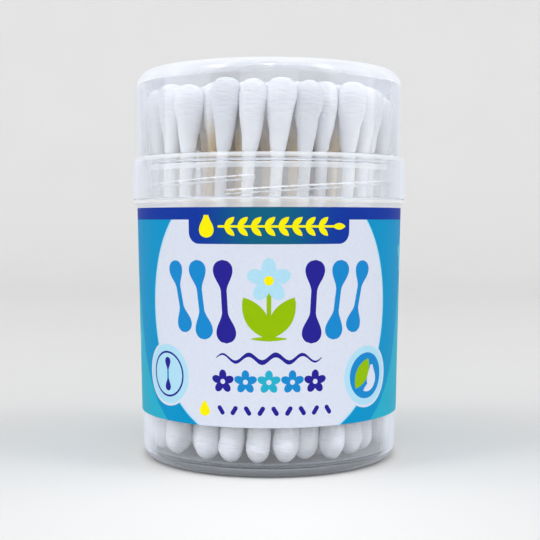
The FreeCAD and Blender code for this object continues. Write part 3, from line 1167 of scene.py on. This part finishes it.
# %% The sprig on the tab
SPRIG_HEIGHT = 49.0
draw("yellow_ink", placed(capsule(23.0, 0.45), 1.5, SPRIG_HEIGHT, 0))
for n in range(8):
    for lean in (42, -42):
        draw("yellow_ink", placed(leaf(2.7, 1.15), -8.6 + 2.6 * n, SPRIG_HEIGHT, lean))
draw("yellow_ink", placed(leaf(2.9, 1.3), 12.6, SPRIG_HEIGHT, 0))
draw("yellow_ink", placed(teardrop(4.4, 3.2), -12.4, SPRIG_HEIGHT + 2.2, 180))
print("print shapes", len(PRINT))

# %% Cut the strip along the print
COLUMN = 2.0


def inside(shape, x, y):
    """True if the point is within the closed outline."""
    within = False
    for (ax, ay), (bx, by) in zip(shape, shape[1:] + shape[:1]):
        if (ay > y) != (by > y) and x < ax + (y - ay) / (by - ay) * (bx - ax):
            within = not within
    return within


def cut_strip():
    """(points, triangles, inks) of the strip, cut along all outlines and along upright grid lines."""
    points, edges = [], []

    def add_outline(shape, closed=True):
        first = len(points)
        points.extend(Vector(p) for p in shape)
        count = len(shape)
        for n in range(count if closed else count - 1):
            edges.append((first + n, first + (n + 1) % count))

    columns = math.ceil(2 * LABEL_END / COLUMN)
    for n in range(columns + 1):
        x = -LABEL_END + 2 * LABEL_END * n / columns
        add_outline([(x, LABEL_BOTTOM + (LABEL_TOP - LABEL_BOTTOM) * m / 8) for m in range(9)], False)
    for y in (LABEL_BOTTOM, LABEL_TOP):
        add_outline([(-LABEL_END, y), (LABEL_END, y)], False)
    for _, shape in PRINT:
        add_outline(shape)
    made = geometry.delaunay_2d_cdt(points, edges, [], 0, 1e-5)
    corners, triangles = made[0], made[2]
    kept, inks = [], []
    boxes = [
        (min(p[0] for p in s), max(p[0] for p in s), min(p[1] for p in s), max(p[1] for p in s))
        for _, s in PRINT
    ]
    for triangle in triangles:
        middle = sum((corners[n] for n in triangle), Vector((0, 0))) / 3
        if abs(middle.x) > LABEL_END or not LABEL_BOTTOM < middle.y < LABEL_TOP:
            continue
        ink = "cyan_ink"
        for (name, shape), (x0, x1, y0, y1) in zip(PRINT, boxes):
            if x0 < middle.x < x1 and y0 < middle.y < y1 and inside(shape, *middle):
                ink = name
        kept.append(triangle)
        inks.append(INK[ink])
    return corners, kept, inks


# %% Wrap the strip
FILM_GAP = 0.05
FILM_THICKNESS = 0.1


def make_label():
    corners, triangles, inks = cut_strip()
    work = bmesh.new()
    used = sorted({n for triangle in triangles for n in triangle})
    layers = []
    for depth in (FILM_THICKNESS, 0.0):
        layer = {}
        for n in used:
            x, y = corners[n]
            lift = FILM_THICKNESS * min(1.0, max(0.0, (x - (ROUND - OVERLAP) / 2 + 0.8) / 0.8))
            reach = wall_radius(y) + FILM_GAP + depth + lift
            angle = x / LABEL_MIDDLE_RADIUS
            layer[n] = work.verts.new(
                (reach * math.sin(angle) * MM, -reach * math.cos(angle) * MM, y * MM)
            )
        layers.append(layer)
    front, back = layers
    rim = {}
    for triangle, ink in zip(triangles, inks):
        face = work.faces.new([front[n] for n in triangle])
        face.material_index = ink
        face.smooth = True
        face = work.faces.new([back[n] for n in reversed(triangle)])
        face.material_index = INK["film_back"]
        face.smooth = True
        for a, b in zip(triangle, (*triangle[1:], triangle[0])):
            key = (min(a, b), max(a, b))
            rim[key] = None if key in rim else (a, b)
    for pair in rim.values():
        if pair:
            a, b = pair
            face = work.faces.new((front[b], front[a], back[a], back[b]))
            for edge in face.edges:
                edge.smooth = False
            face.material_index = INK["film_back"]
    return work


finished_piece("label_film", make_label(), FILM, "tub", "printed_film", "label")

# %% [markdown]
# ## Floor and backdrop
# A pale sweep of paper runs from under the tub up behind it in one bend, so no edge shows between the two.

# %% Sweep
SWEEP_FRONT = -1.2
SWEEP_BACK = 0.55
SWEEP_BEND = 0.30
SWEEP_TOP = 1.6
SWEEP_HALF = 1.6


def matte_paper():
    material, tree, output = new_material("matte backdrop paper")
    place = add_node(tree, "ShaderNodeTexCoord")
    mottle = add_node(
        tree,
        "ShaderNodeTexNoise",
        values={"Scale": 1 / (60 * MM), "Detail": 1.0},
        links={"Vector": place.outputs["Object"]},
    )
    tone = add_node(
        tree, "ShaderNodeMix", settings={"data_type": "RGBA"}, links={"Factor": mottle.outputs["Fac"]}
    )
    tone.inputs["A"].default_value = linear("#E3E3E3")
    tone.inputs["B"].default_value = linear("#E6E6E6")
    paper = add_node(
        tree,
        "ShaderNodeBsdfPrincipled",
        values={"Roughness": 0.9, "Specular IOR Level": 0.1},
        links={"Base Color": tone.outputs["Result"]},
    )
    tree.links.new(paper.outputs[0], output.inputs["Surface"])
    return material


line = [(SWEEP_FRONT, 0.0), (0.0, 0.0)]
for n in range(13):
    turn = math.pi / 2 * n / 12
    line.append((SWEEP_BACK + SWEEP_BEND * math.sin(turn), SWEEP_BEND * (1 - math.cos(turn))))
line.append((SWEEP_BACK + SWEEP_BEND, SWEEP_TOP))
verts = [(x, y, z) for y, z in line for x in (-SWEEP_HALF, SWEEP_HALF)]
faces = [(2 * n, 2 * n + 1, 2 * n + 3, 2 * n + 2) for n in range(len(line) - 1)]
sweep_mesh = bpy.data.meshes.new("sweep")
sweep_mesh.from_pydata(verts, [], faces)
sweep_mesh.polygons.foreach_set("use_smooth", [True] * len(faces))
sweep_mesh.materials.append(matte_paper())
sweep = bpy.data.objects.new("sweep", sweep_mesh)
bpy.context.scene.collection.objects.link(sweep)
print("sweep faces", len(faces))


# %% [markdown]
# ## Light
# Three big soft lamps at the left, the right and the front, and an even pale surround, light the tub from all sides.
# Two small lamps high up draw the crisper highlights on the crown and the step, and a narrow one brightens the paper
# in front of the tub. The surround is strong enough to look pale by itself, and the lamps stay low, so that colours
# render about as they are written.

# %% Lamps
TUB_MIDDLE = Vector((0, 0, 0.04))


def soft_lamp(name, where, wide, watts):
    """A square area lamp that faces the middle of the tub."""
    data = bpy.data.lights.new(name, "AREA")
    data.shape = "SQUARE"
    data.size = wide
    data.energy = watts
    lamp = bpy.data.objects.new(name, data)
    lamp.location = where
    lamp.rotation_euler = (TUB_MIDDLE - Vector(where)).to_track_quat("-Z", "Y").to_euler()
    bpy.context.scene.collection.objects.link(lamp)


soft_lamp("lamp_left", (-1.0, -0.27, 0.42), 1.0, 3.3)
soft_lamp("lamp_right", (1.0, -0.25, 0.4), 1.0, 3.1)
soft_lamp("lamp_front", (0.0, -1.0, 0.1), 0.9, 2.4)
soft_lamp("lamp_high_left", (-0.6, -0.35, 0.95), 0.25, 1.3)
soft_lamp("lamp_high_right", (0.65, -0.3, 0.95), 0.25, 1.3)

# %% The lamp on the floor
POOL_MIDDLE = Vector((0, -0.055, 0))
pool = bpy.data.lights.new("lamp_on_floor", "SPOT")
pool.energy = 4.4
pool.spot_size = math.radians(13)
pool.spot_blend = 1.0
pool.shadow_soft_size = 0.05
pool_lamp = bpy.data.objects.new("lamp_on_floor", pool)
pool_lamp.location = (0.0, -0.3, 0.5)
pool_lamp.rotation_euler = (POOL_MIDDLE - pool_lamp.location).to_track_quat("-Z", "Y").to_euler()
bpy.context.scene.collection.objects.link(pool_lamp)
print("lamps", [lamp.name for lamp in bpy.data.lights])

# %% Surround
SURROUND = 0.7
world = bpy.data.worlds.new("pale surround")
bpy.context.scene.world = world
world.use_nodes = True
world.node_tree.nodes["Background"].inputs["Color"].default_value = (1.0, 1.0, 1.0, 1.0)
world.node_tree.nodes["Background"].inputs["Strength"].default_value = SURROUND
bpy.context.scene.view_settings.view_transform = "Standard"
print("surround", SURROUND)
